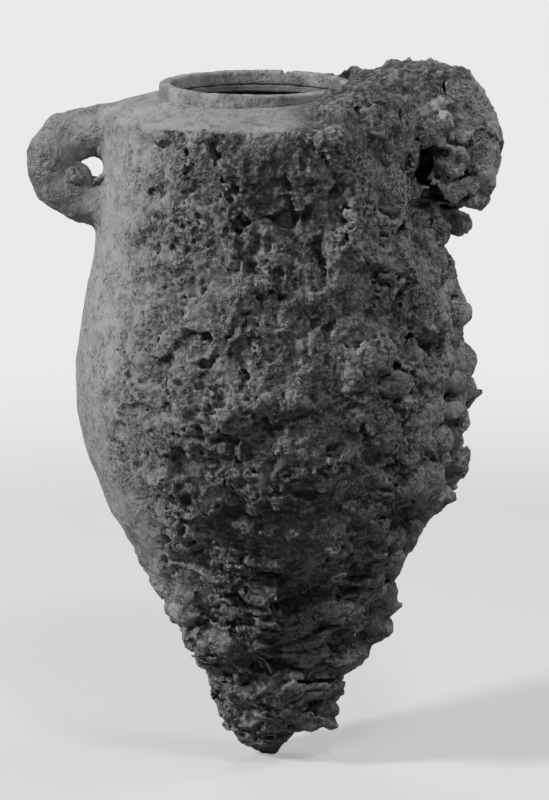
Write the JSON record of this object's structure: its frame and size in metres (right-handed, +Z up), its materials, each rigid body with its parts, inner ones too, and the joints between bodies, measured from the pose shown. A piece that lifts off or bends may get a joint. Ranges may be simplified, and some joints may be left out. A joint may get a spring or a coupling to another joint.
{
  "type": "amphora jar",
  "caption": "Pointed-base transport jar with a sharp flat shoulder, ring rim and two ear handles, thickly covered in sea crust.",
  "frame": {"origin": "lowest point of the foot, on the jar's axis", "axes": "+Z up along the jar's axis; the front is -Y; the clean ear stands along -X and the crusted ear along +X"},
  "size_m": [0.3558, 0.2861, 0.5331],
  "materials": {
    "clay": "rough fired clay, unglazed",
    "limed_clay": "fired clay under a thin pale film of lime",
    "crust": "porous, craggy lime crust",
    "growth": "pitted round growths of lime",
    "shell_lime": "chalky shell"
  },
  "bodies": {
    "root": {"crust_belly_back": "crust", "crust_belly_back_right": "crust", "crust_belly_front": "crust", "crust_belly_front_left": "crust", "crust_belly_left": "crust", "crust_belly_right": "crust", "crust_cone_back": "crust", "crust_cone_back_right": "crust", "crust_cone_front": "crust", "crust_cone_front_left": "crust", "crust_cone_left": "crust", "crust_cone_right": "crust", "crust_foot": "crust", "crust_shoulder": "crust", "crust_waist_back": "crust", "crust_waist_back_right": "crust", "crust_waist_front": "crust", "crust_waist_front_left": "crust", "crust_waist_right": "crust", "ear_ball_under": "growth", "ear_crust_back": "growth", "ear_crust_outer": "growth", "ear_crust_roof": "growth", "ear_lobe_front_lower": "growth", "ear_lobe_front_upper": "growth", "ear_lump_left": "growth", "handle_left": "limed_clay", "handle_right": "clay", "nodule_back_lower": "growth", "nodule_back_upper": "growth", "nodule_belly_front_right": "growth", "nodule_belly_right_lower": "growth", "nodule_belly_right_middle": "growth", "nodule_belly_right_upper": "growth", "nodule_cone_right_lower": "growth", "nodule_cone_right_upper": "growth", "nodule_hip_front_right": "growth", "nodule_hip_right_middle": "growth", "nodule_hip_right_upper": "growth", "nodule_waist_right": "growth", "rim": "limed_clay", "shell_front": "shell_lime", "shoulder": "limed_clay", "toe_plug": "clay", "wall_belly": "clay", "wall_cone": "clay", "wall_waist": "clay", "worm_tube_curl_lower": "shell_lime", "worm_tube_curl_upper": "shell_lime"}
  },
  "joints": []
}
